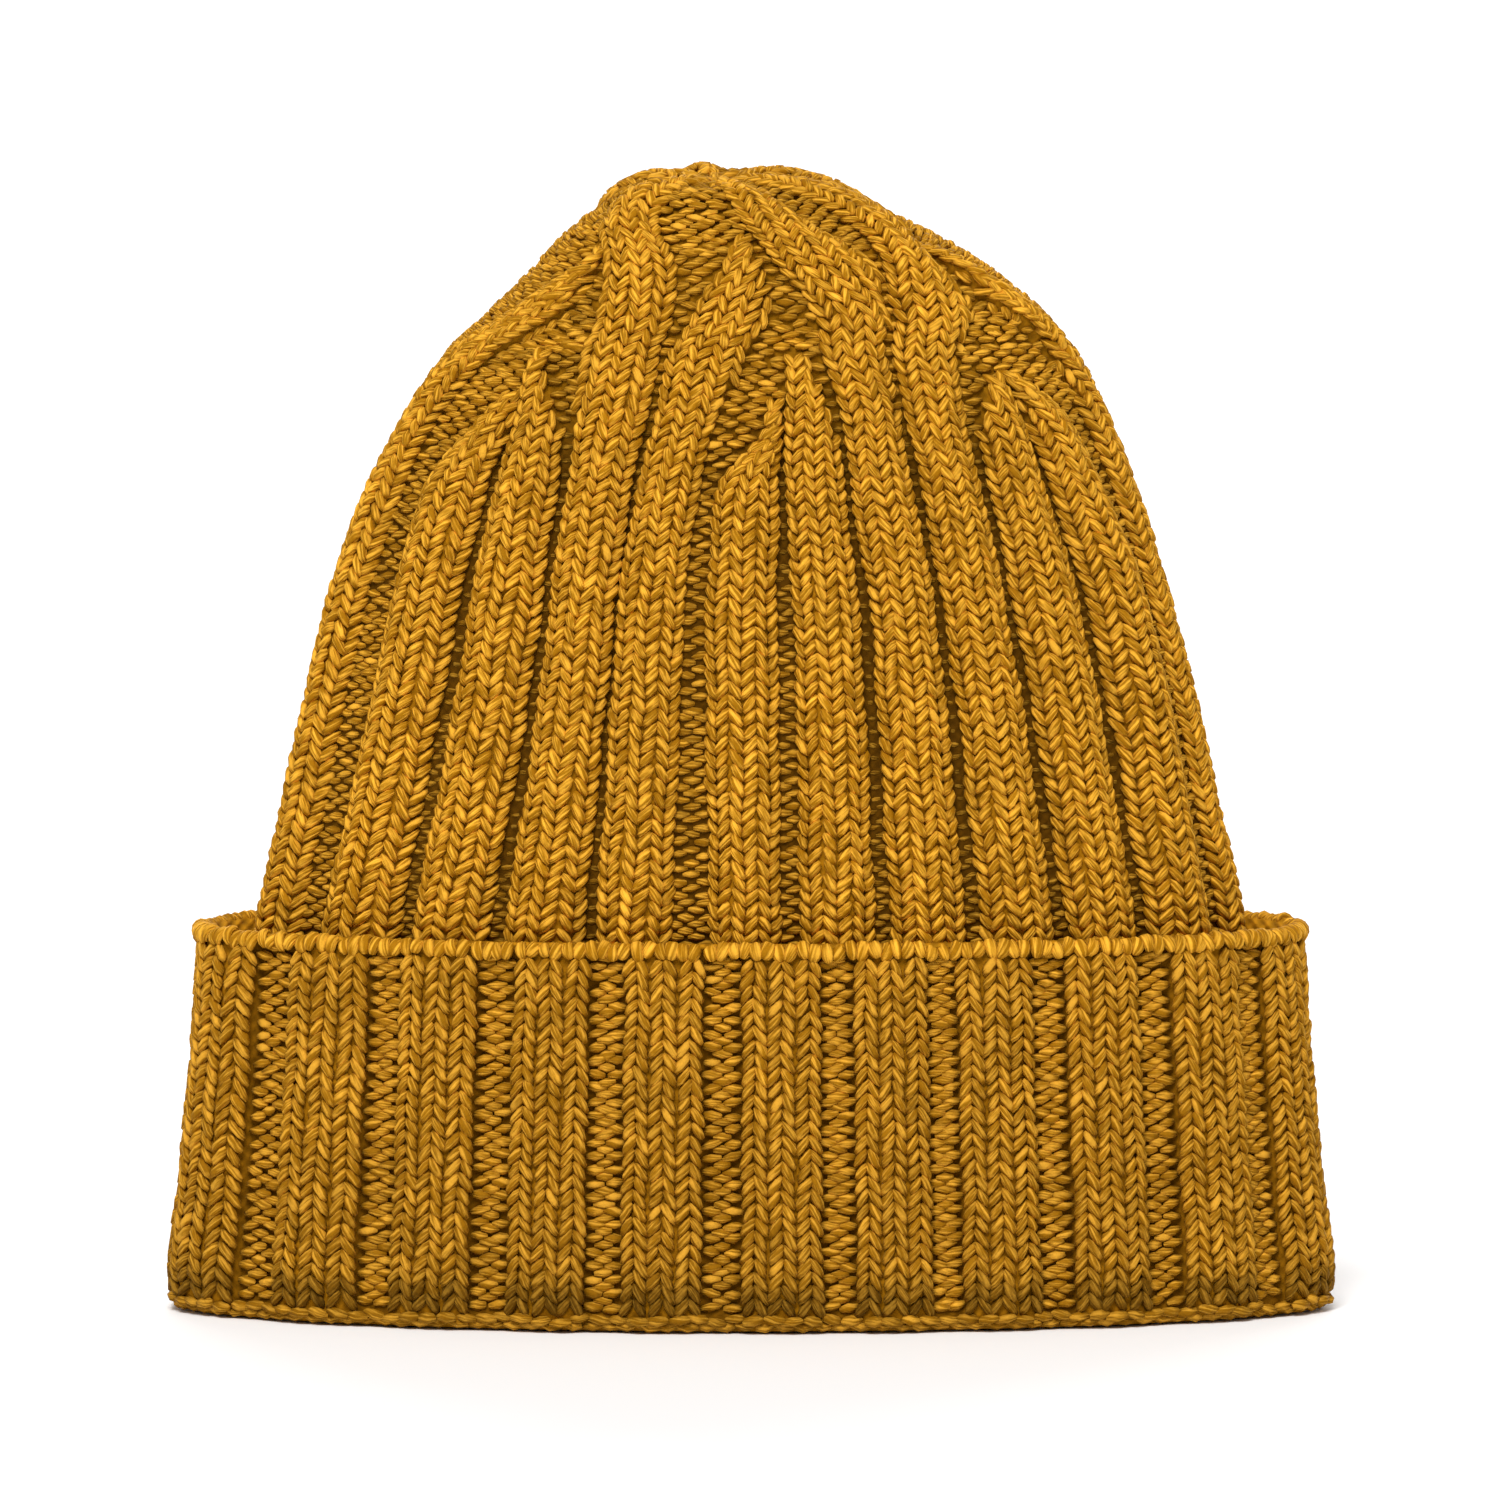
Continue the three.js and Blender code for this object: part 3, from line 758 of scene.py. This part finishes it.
# Painted shade that makes the cuff darker than the crown: everywhere, more towards the hem, and deepest over
# its ridge
CUFF_PAINTED_SHADE = {"all": 1.5, "low": 1.8, "low_heights": (8, 60), "hem_painted_shade": 7.0, "hem_painted_shade_heights": (6, 13)}


# Painted shade of the cuff's yarn at a height, as a lower tone
def cuff_painted_shade_at(height):
    low = 1 - smooth_step(*CUFF_PAINTED_SHADE["low_heights"], height)
    return -CUFF_PAINTED_SHADE["all"] - CUFF_PAINTED_SHADE["low"] * low


def on_cuff_row(skin, share, height, girth):
    """Stitch frames along one row of the cuff."""
    half = CUFF_ROW_STEP / 2
    return skin_frame(skin, share, height - half, height, height + half, girth)


def cuff_leg_cloud(chance):
    clouds = []
    for height in CUFF_ROWS:
        girth = cuff_girth(height)
        legs = []
        for left, right in CUFF_RIBS:
            left, right = left - CUFF_OVERHANG / girth, right + CUFF_OVERHANG / girth
            wale = (right - left) / WALES_PER_RIB
            for number in range(WALES_PER_RIB):
                sway = column_sway(COLUMN_SWAY["cuff_height"] * height, number, left) / girth
                for side in (-1, 1):
                    share = left + (number + 0.5 + leg_offset(side)) * wale + sway
                    legs.append((share, side, wale * girth, left, right))
        share, side, wale, left, right = np.array(legs).T

        def rounded_rib(share, height):
            flank = np.abs(2 * (share - left) / (right - left) - 1)
            drop = CUFF_ROUNDING["drop"] * flank ** CUFF_ROUNDING["power"] * cuff_rib_share(height)
            return cuff_point(share, height, cuff_inward(height) + drop)

        cloud = leg_cloud(on_cuff_row(rounded_rib, share, height, girth), side, wale, -1, chance)
        # Painted shade over the rows just above the hem's ridge
        hem_painted_shade = CUFF_PAINTED_SHADE["hem_painted_shade"] * (1 - smooth_step(*CUFF_PAINTED_SHADE["hem_painted_shade_heights"], height))
        cloud["tone"] = cloud["tone"] - hem_painted_shade + cuff_painted_shade_at(height)
        clouds.append(cloud)
    return join_clouds(clouds)


def cuff_purl_cloud(chance):
    clouds = []
    for height in CUFF_ROWS:
        girth = cuff_girth(height)
        bumps = []
        for (_, right), (left, _) in zip(CUFF_RIBS, CUFF_RIBS[1:] + CUFF_RIBS[:1]):
            end = left if left > right else left + 1
            gap = (end - right) * girth
            for column in (-1, 0, 1):
                share = (right + end) / 2 + column * gap * CUFF_PURL["apart"] / girth
                bumps.append((share, 0.5 if column == 0 else 0.0))
        share, lift = np.array(bumps).T
        cloud = purl_cloud(on_cuff_row(cuff_skin, share, height, girth), lift, np.zeros(len(share)), chance)
        cloud["tone"] = cloud["tone"] + cuff_painted_shade_at(height) + CUFF_PURL["tone"]
        cloud["size"] = cloud["size"] * CUFF_PURL["fuller"]
        clouds.append(cloud)
    return join_clouds(clouds)


# The roll along the cuff's top edge: where its middle runs, and its loops of two legs each
RIM = {"height": 73.1, "inward": 2.7, "radius": 1.6, "width": 2.9, "loops": 110, "apart": 0.205,
       "lean": 0.36, "tone": -0.2}
RIM_VARIES = {"share": 0.05, "lean": 0.16, "height": 0.22, "size": 0.07, "tone": 0.8}


def rim_cloud(chance):
    height, count = RIM["height"], RIM["loops"]
    share = (np.arange(count) + chance.normal(0, RIM_VARIES["share"], count)) / count
    nudge = 1 / cuff_girth(height)
    legs = []
    for side in (-1, 1):
        spot = share + side * RIM["apart"] / count
        place = cuff_point(spot, height, RIM["inward"])
        across = unit(cuff_point(spot + nudge, height, 0) - cuff_point(spot - nudge, height, 0))
        outward = unit(np.cross(across, (0, 0, 1)))
        lean = side * RIM["lean"] + chance.normal(0, RIM_VARIES["lean"], count)
        along = unit(np.array((0, 0, 1)) + across * lean[:, None])
        place[:, 2] += chance.normal(0, RIM_VARIES["height"], count)
        size = np.array((RIM["width"], RIM["radius"], RIM["radius"]))
        size = size * chance.normal(1, RIM_VARIES["size"], (count, 3))
        tone = chance.normal(RIM["tone"], RIM_VARIES["tone"], count)
        legs.append(cloud_of(place, along, outward, size, tone))
    return join_clouds(legs)


# The purl ridges on which the fabric turns at the hem: height, how far in from the crests, how many stitches
# they are moved round, how far their yarn tips over from facing out, and the surface they lie on
HEM_RIDGES = (
    (2.5, 0.2, 0.0, 0.3, cuff_skin),
    (0.9, 0.7, 0.5, 0.9, cuff_skin),
    (1.0, 4.6, 0.0, 1.4, cuff_point),
    (0.9, 6.8, 0.5, 1.57, cuff_point),
    (1.0, 9.2, 0.0, 1.75, cuff_point),
    (3.2, 10.8, 0.5, 2.6, cuff_point),
)
# The hem's yarn; its tone, far below the rest, is painted shade on the fold at the bottom
HEM_YARN = {"pitch": 3.75, "size": (2.2, 3.9, 2.1), "sink": 0.9, "lowest": 1.45, "tone": -4.4}
HEM_VARIES = {"share": 0.05, "height": 0.32, "size": 0.09, "tilt": 0.12}


def hem_cloud(chance):
    clouds = []
    count = int(cuff_girth(0) / HEM_YARN["pitch"])
    for height, inward, shift, tip, skin in HEM_RIDGES:
        share = (np.arange(count) + shift + chance.normal(0, HEM_VARIES["share"], count)) / count
        place = skin(share, height, inward + HEM_YARN["sink"])
        across = unit(cuff_point(share + 0.002, height, 0) - cuff_point(share - 0.002, height, 0))
        level = unit(np.cross(across, (0, 0, 1)))
        outward = level * math.cos(tip) - np.array((0, 0, 1)) * math.sin(tip)
        raised = place[:, 2] + uneven(chance, HEM_VARIES["height"], count)
        place[:, 2] = np.maximum(raised, HEM_YARN["lowest"])
        size = np.array(HEM_YARN["size"]) * (1 + uneven(chance, HEM_VARIES["size"], (count, 3)))
        along = unit(across + np.array((0, 0, 1)) * uneven(chance, HEM_VARIES["tilt"], (count, 1)))
        clouds.append(cloud_of(place, along, outward, size, chance.normal(HEM_YARN["tone"], 1, count)))
    return join_clouds(clouds)


# Fabric under the stitches
def fabric(name, rings, raised, caps, finishes, face_finish):
    """A closed skin through rings of equal length; caps says whether poles close its ends or they join.

    raised says for each place how far it lies under a rib, and face_finish picks each band's finish.
    """
    count = len(rings[0])
    vertices = np.concatenate(rings) * MM
    faces, slots = [], []
    bands = list(zip(range(len(rings) - 1), range(1, len(rings))))
    if caps == "join":
        bands.append((len(rings) - 1, 0))
    for number, (low, high) in enumerate(bands):
        for i in range(count):
            follow = (i + 1) % count
            faces.append((low * count + i, low * count + follow, high * count + follow, high * count + i))
            slots.append(face_finish(number))
    vertices = [tuple(v) for v in vertices]
    if caps == "poles":
        for ring, inside in ((len(rings) - 1, False), (0, True)):
            vertices.append(tuple(np.mean(rings[ring], axis=0) * MM))
            pole = len(vertices) - 1
            for i in range(count):
                here, there = ring * count + i, ring * count + (i + 1) % count
                faces.append((there, here, pole) if inside else (here, there, pole))
                slots.append(face_finish(0 if inside else len(bands) - 1))
    mesh = bpy.data.meshes.new(name)
    mesh.from_pydata(vertices, [], faces)
    raised = np.append(np.concatenate(raised), np.zeros(len(vertices) - len(raised) * count))
    mark_points(mesh, "raised", "FLOAT", raised.astype(np.float32))
    mesh.polygons.foreach_set("use_smooth", [True] * len(faces))
    mesh.polygons.foreach_set("material_index", slots)
    for finish in finishes:
        mesh.materials.append(finish)
    mesh.update()
    return put(name, mesh)


# The crown's fabric: its places round, how far its two faces lie in, the least it is thick, how much its
# valleys show inside, and how much of a rib's colour, in place of the valleys' painted shade, the merging
# top has between its ribs
CROWN_FABRIC = {"round": 480, "under": 1.75, "thinnest": 0.4, "inner_relief": 0.3, "merged": 0.55}
FABRIC_TOP_ROW = CLOSURE_ROW - 0.4


def crown_fabric(under_yarn, lining):
    shares = (np.arange(CROWN_FABRIC["round"]) + 0.5) / CROWN_FABRIC["round"]
    outer_rows = np.concatenate([[HEM_ROW, -12], np.arange(-4, FABRIC_TOP_ROW, 1.0)])
    inner_rows = np.concatenate([[HEM_ROW], np.arange(-20, FABRIC_TOP_ROW, 1.5)])[::-1]
    inner = []
    for row in inner_rows:
        relief = CROWN_FABRIC["inner_relief"] * (1 - rib_height(shares, row))
        inner.append(crown_point(shares, row, CROWN_WALL + relief))
    outer = []
    for row in outer_rows:
        depth = valley_depth(row) * (1 - rib_height(shares, row)) + CROWN_FABRIC["under"]
        outer.append(crown_point(shares, row, np.minimum(depth, CROWN_WALL - CROWN_FABRIC["thinnest"])))
    raised = []
    for row in np.append(inner_rows, outer_rows):
        merged = CROWN_FABRIC["merged"] * smooth_step(*MERGING["columns"], row)
        raised.append(np.maximum(rib_height(shares, row), merged))
    return fabric("crown_fabric", inner + outer, raised, "poles", (lining, under_yarn),
                  lambda band: int(band >= len(inner)))


# The cuff's fabric: its places round, how far it lies under the stitches at which heights, and from the rim
# down the inside and under the hem the heights of its lining and how far in from the crests that lies
CUFF_FABRIC = {"round": 720, "under": 1.6, "heights": (0.6, 2.5, 5, 7.5, 10, 24, 38, 52, 66, 69, 71.5, 73.5)}
CUFF_LINING = ((74.3, 1.6), (75.0, 3.0), (73.4, 5.2), (67, 6.2), (45, 6.4), (25, 6.5), (8, 6.6), (2.5, 6.7),
               (2.5, 11.2), (0.8, 10.4), (0.4, 5.0))


def cuff_fabric(under_yarn, lining):
    shares = (np.arange(CUFF_FABRIC["round"]) + 0.5) / CUFF_FABRIC["round"]
    outer = [cuff_skin(shares, height, CUFF_FABRIC["under"]) for height in CUFF_FABRIC["heights"]]
    lined = [cuff_point(shares, height, inward) for height, inward in CUFF_LINING]
    raised = [cuff_height_of_ribs(shares)] * len(outer + lined)
    return fabric("cuff_fabric", outer + lined, raised, "join", (lining, under_yarn),
                  lambda band: int(band < len(outer) - 1))


# Finishes
class Finish(NodeMaker):
    """A node material in the making."""

    def __init__(self, name):
        self.material = bpy.data.materials.new(name)
        self.material.use_nodes = True
        super().__init__(self.material.node_tree)
        self.shader = self.nodes["Principled BSDF"]

    def math(self, operation, *values):
        return self.add("ShaderNodeMath", {"operation": operation}, enumerate(values)).outputs[0]

    def times(self, one, other):
        return self.math("MULTIPLY", one, other)

    def ramp(self, value, start, end, interpolation="LINEAR"):
        """Goes from 0 to 1 while value goes from start to end."""
        return self.add("ShaderNodeMapRange", {"interpolation_type": interpolation},
                        {0: value, 1: start, 2: end}).outputs[0]

    def noise(self, places, scale, detail, roughness=0.5):
        return self.add("ShaderNodeTexNoise", {}, {"Vector": places, "Scale": scale, "Detail": detail,
                                                   "Roughness": roughness}).outputs["Fac"]

    def blend(self, factor, low, high, kind="MIX"):
        return self.add("ShaderNodeMix", {"data_type": "RGBA", "blend_type": kind, "clamp_factor": True},
                        {0: factor, 6: low, 7: high}).outputs[2]

    def darken(self, colour, level):
        """Multiplies a colour by one level of grey."""
        grey = self.add("ShaderNodeCombineColor", {}, {0: level, 1: level, 2: level}).outputs[0]
        return self.blend(1.0, colour, grey, "MULTIPLY")

    def made_of(self, colour, relief, depth, looks):
        """Gives the shader its colour, a relief so many metres deep and its other looks."""
        bump = self.add("ShaderNodeBump", {}, {"Height": relief, "Strength": 0.8, "Distance": depth})
        looks = {"Base Color": colour, "Normal": bump.outputs["Normal"], "Specular IOR Level": 0.05, **looks}
        for name, value in looks.items():
            self.feed(self.shader.inputs[name], value)
        return self.material


# Strand colours: the crests partly the plies' own colour and partly painted highlight, the grooves partly
# painted shade
YARN_LIGHT = (0.85, 0.42, 0.0345, 1)
YARN_COLOUR = (0.35, 0.145, 0.0026, 1)
# The cuff's yarn: the same yarn with darker, flatter colours, as painted shade
CUFF_SHADED_LIGHT = (0.73, 0.355, 0.030, 1)
CUFF_SHADED_COLOUR = (0.33, 0.138, 0.0030, 1)
# Painted shade on the yarn's flanks and ends
YARN_PAINTED_SHADE = (0.29, 0.117, 0.0017, 1)
# Strands round the yarn and along a stitch, how far they wind round it, and what a stitch's tone moves them
STRANDS = {"round": 13.0, "lengths": 1.5, "twist": 1.6, "stitch": 7.3}
FIBRE_SCALE = 1400.0
DYE_SCALE = 28.0
# How much painted shade darkens the yarn on its flanks and ends, and how much stitches, dye and fibres
# differ; a stitch's tone also carries the painted shade laid into the clouds
YARN_SHADES = {"edge": 0.35, "stitch": 0.06, "dye": 0.24, "fibre": 0.4}
YARN_LOOKS = {"Roughness": 0.75, "Sheen Weight": 0.04, "Sheen Roughness": 0.4,
              "Sheen Tint": (1.0, 0.65, 0.15, 1)}


def yarn_finish(name, light, colour):
    """Plied matte yarn: strands that wind along the stitch, lighter on their crests as painted highlight and
    darker in their grooves as painted shade, painted shade on the yarn's flanks and ends, loose fibres and a
    slightly uneven dye.
    """
    finish = Finish(name)
    spots = finish.add("ShaderNodeTexCoord").outputs["Object"]
    uv = finish.add("ShaderNodeUVMap", {"uv_map": "yarn"}).outputs["UV"]
    along, around, _ = finish.add("ShaderNodeSeparateXYZ", {}, {0: uv}).outputs
    tone = finish.add("ShaderNodeAttribute", {"attribute_name": "tone"}).outputs["Fac"]
    fibre = finish.noise(spots, FIBRE_SCALE, 3.0, 0.6)
    dye = finish.noise(spots, DYE_SCALE, 2.0)
    across = finish.times(around, STRANDS["round"])
    strand = finish.add("ShaderNodeCombineXYZ", {}, {
        "X": finish.times(along, STRANDS["lengths"]),
        "Y": finish.math("MULTIPLY_ADD", along, STRANDS["twist"], across),
        "Z": finish.times(tone, STRANDS["stitch"])}).outputs[0]
    strands = finish.ramp(finish.noise(strand, 1.0, 1.0, 0.4), 0.40, 0.62)
    # Painted shade towards the yarn's ends and on its flanks
    middle = finish.math("SUBTRACT", along, 0.5)
    ends = finish.math("POWER", finish.math("ABSOLUTE", finish.times(middle, 2.0)), 2.4)
    facing = finish.math("SINE", finish.times(around, 2 * math.pi))
    flank = finish.ramp(facing, 0.85, 0.1, "SMOOTHSTEP")
    # Strands: the plies' own lighter and darker yarn, with painted highlight on the crests and painted shade
    # in the grooves
    base = finish.blend(strands, colour, light)
    for edge in (flank, ends):
        base = finish.blend(finish.times(edge, YARN_SHADES["edge"]), base, YARN_PAINTED_SHADE)
    level = finish.math("MULTIPLY_ADD", tone, YARN_SHADES["stitch"], 1.0)
    for pattern, share in ((dye, YARN_SHADES["dye"]), (fibre, YARN_SHADES["fibre"])):
        pattern = finish.times(finish.math("SUBTRACT", pattern, 0.5), share)
        level = finish.math("ADD", level, pattern)
    return finish.made_of(finish.darken(base, level), finish.math("ADD", strands, fibre), 0.0002, YARN_LOOKS)


def fabric_finish(name, valley_painted_shade, colour, bumps):
    """The yarn seen behind the stitches, or the inside of the knit with its rows of bumps; its valleys take
    the darker colour as painted shade, and it is painted darker between its bumps as shade.
    """
    finish = Finish(name)
    raised = finish.add("ShaderNodeAttribute", {"attribute_name": "raised"}).outputs["Fac"]
    colour = finish.blend(raised, valley_painted_shade, colour)
    spots = finish.add("ShaderNodeTexCoord").outputs["Object"]
    fibre = finish.noise(spots, 900.0, 4.0, 0.65)
    sideways, _, upward = finish.add("ShaderNodeSeparateXYZ", {}, {0: spots}).outputs
    rows, wales = (finish.math("SINE", finish.times(way, 2 * math.pi / (pitch * MM)))
                   for way, pitch in ((upward, ROW_HEIGHT), (sideways, WALE_WIDTH / 2)))
    knots = finish.math("MULTIPLY_ADD", finish.times(rows, wales), 0.5, 0.5)
    relief = finish.math("ADD", finish.times(knots, bumps), finish.times(fibre, 0.5))
    # Painted shade between the knots, with the fibres' own unevenness
    shade = finish.math("MULTIPLY_ADD", relief, 0.55, 0.45)
    return finish.made_of(finish.darken(colour, shade), relief, 0.0008, {"Roughness": 0.9})


def plain_finish(name, colour, roughness):
    finish = Finish(name)
    finish.shader.inputs["Base Color"].default_value = colour
    finish.shader.inputs["Roughness"].default_value = roughness
    return finish.material


# Making the beanie
mustard_yarn = yarn_finish("mustard_yarn", YARN_LIGHT, YARN_COLOUR)
# The cuff's copy of the yarn, darker as painted shade
shaded_cuff_yarn = yarn_finish("mustard_yarn_painted_darker_for_the_cuff", CUFF_SHADED_LIGHT, CUFF_SHADED_COLOUR)
# The backing's darker valley colours are painted shade
yarn_behind = fabric_finish("yarn_behind_the_crown", (0.11, 0.043, 0.0008, 1), (0.52, 0.22, 0.005, 1), 0.5)
cuff_yarn_behind = fabric_finish("yarn_behind_the_cuff", (0.22, 0.088, 0.0018, 1), (0.40, 0.165, 0.0035, 1),
                                 0.5)
knit_inside = fabric_finish("inside_of_the_knit", (0.44, 0.19, 0.006, 1), (0.50, 0.22, 0.008, 1), 1.0)

laying_tree = laying_nodes()
stitch_legs = (stitch_leg_shape("left_leg", LEG_SLANT), stitch_leg_shape("right_leg", -LEG_SLANT))
purl_bumps = (purl_bump_shape(),) * 2
rim_legs = (rim_leg_shape(),) * 2

chance = np.random.default_rng(24)
made = []


def front_and_back(name, shapes, cloud, finish):
    front = cloud["place"][:, 1] < 0
    made.append(lay_yarn(name + "_front", shapes, pick(cloud, front), finish))
    made.append(lay_yarn(name + "_back", shapes, pick(cloud, ~front), finish))


front_and_back("crown_knit", stitch_legs, crown_leg_cloud(chance), mustard_yarn)
front_and_back("crown_purl", purl_bumps, crown_purl_cloud(chance), mustard_yarn)
front_and_back("cuff_knit", stitch_legs, cuff_leg_cloud(chance), shaded_cuff_yarn)
made.append(lay_yarn("crown_closure", purl_bumps, closure_cloud(chance), mustard_yarn))
made.append(lay_yarn("cuff_purl", purl_bumps, cuff_purl_cloud(chance), shaded_cuff_yarn))
made.append(lay_yarn("cuff_rim", rim_legs, rim_cloud(chance), mustard_yarn, unevenness=0.05))
made.append(lay_yarn("hem_ridge", purl_bumps, hem_cloud(chance), shaded_cuff_yarn))
for shape in (*stitch_legs, purl_bumps[0], rim_legs[0]):
    bpy.data.objects.remove(shape)

crown_backing = crown_fabric(yarn_behind, knit_inside)
cuff_backing = cuff_fabric(cuff_yarn_behind, knit_inside)
for piece in made + [crown_backing, cuff_backing]:
    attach(piece, "root")
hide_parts("crown")
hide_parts("cuff")


# Studio
FLOOR_HALF = 15.0


def studio_floor():
    mesh = bpy.data.meshes.new("studio_floor")
    corners = [(-FLOOR_HALF, -FLOOR_HALF, 0), (FLOOR_HALF, -FLOOR_HALF, 0), (FLOOR_HALF, FLOOR_HALF, 0),
               (-FLOOR_HALF, FLOOR_HALF, 0)]
    mesh.from_pydata(corners, [], [(0, 1, 2, 3)])
    mesh.materials.append(plain_finish("pale_floor", (0.95, 0.95, 0.95, 1), 0.9))
    put("studio_floor", mesh)


def soft_sun(name, azimuth, elevation, spread, strength):
    """A wide soft sun; azimuth 0 shines from the front, and below 0 from the left."""
    lamp = bpy.data.lights.new(name, "SUN")
    lamp.angle = math.radians(spread)
    lamp.energy = strength
    put(name, lamp).rotation_euler = (math.radians(90 - elevation), 0, math.radians(azimuth))


AIM_HEIGHT = 0.1082
CAMERA_DISTANCE = 4.0
CAMERA_ELEVATION = math.radians(5.5)
FRAME_WIDTH = 0.2896
AIR_LIGHT = 0.43


def photo_camera():
    data = bpy.data.cameras.new("photo_camera")
    data.sensor_width = 36.0
    data.lens = data.sensor_width * CAMERA_DISTANCE / FRAME_WIDTH
    data.clip_end = 100.0
    camera = put("photo_camera", data)
    camera.location = (0, -CAMERA_DISTANCE * math.cos(CAMERA_ELEVATION),
                       AIM_HEIGHT + CAMERA_DISTANCE * math.sin(CAMERA_ELEVATION))
    camera.rotation_euler = (math.pi / 2 - CAMERA_ELEVATION, 0, 0)
    bpy.context.scene.camera = camera


studio_floor()
photo_camera()
soft_sun("key_light", azimuth=-10, elevation=48, spread=24, strength=2.78)
soft_sun("back_light", azimuth=176, elevation=24, spread=50, strength=1.7)
world = bpy.data.worlds.new("studio_air")
world.use_nodes = True
air = world.node_tree.nodes["Background"]
air.inputs["Color"].default_value = (1.0, 1.0, 1.0, 1)
air.inputs["Strength"].default_value = AIR_LIGHT
bpy.context.scene.world = world
bpy.context.scene.view_settings.view_transform = "Standard"
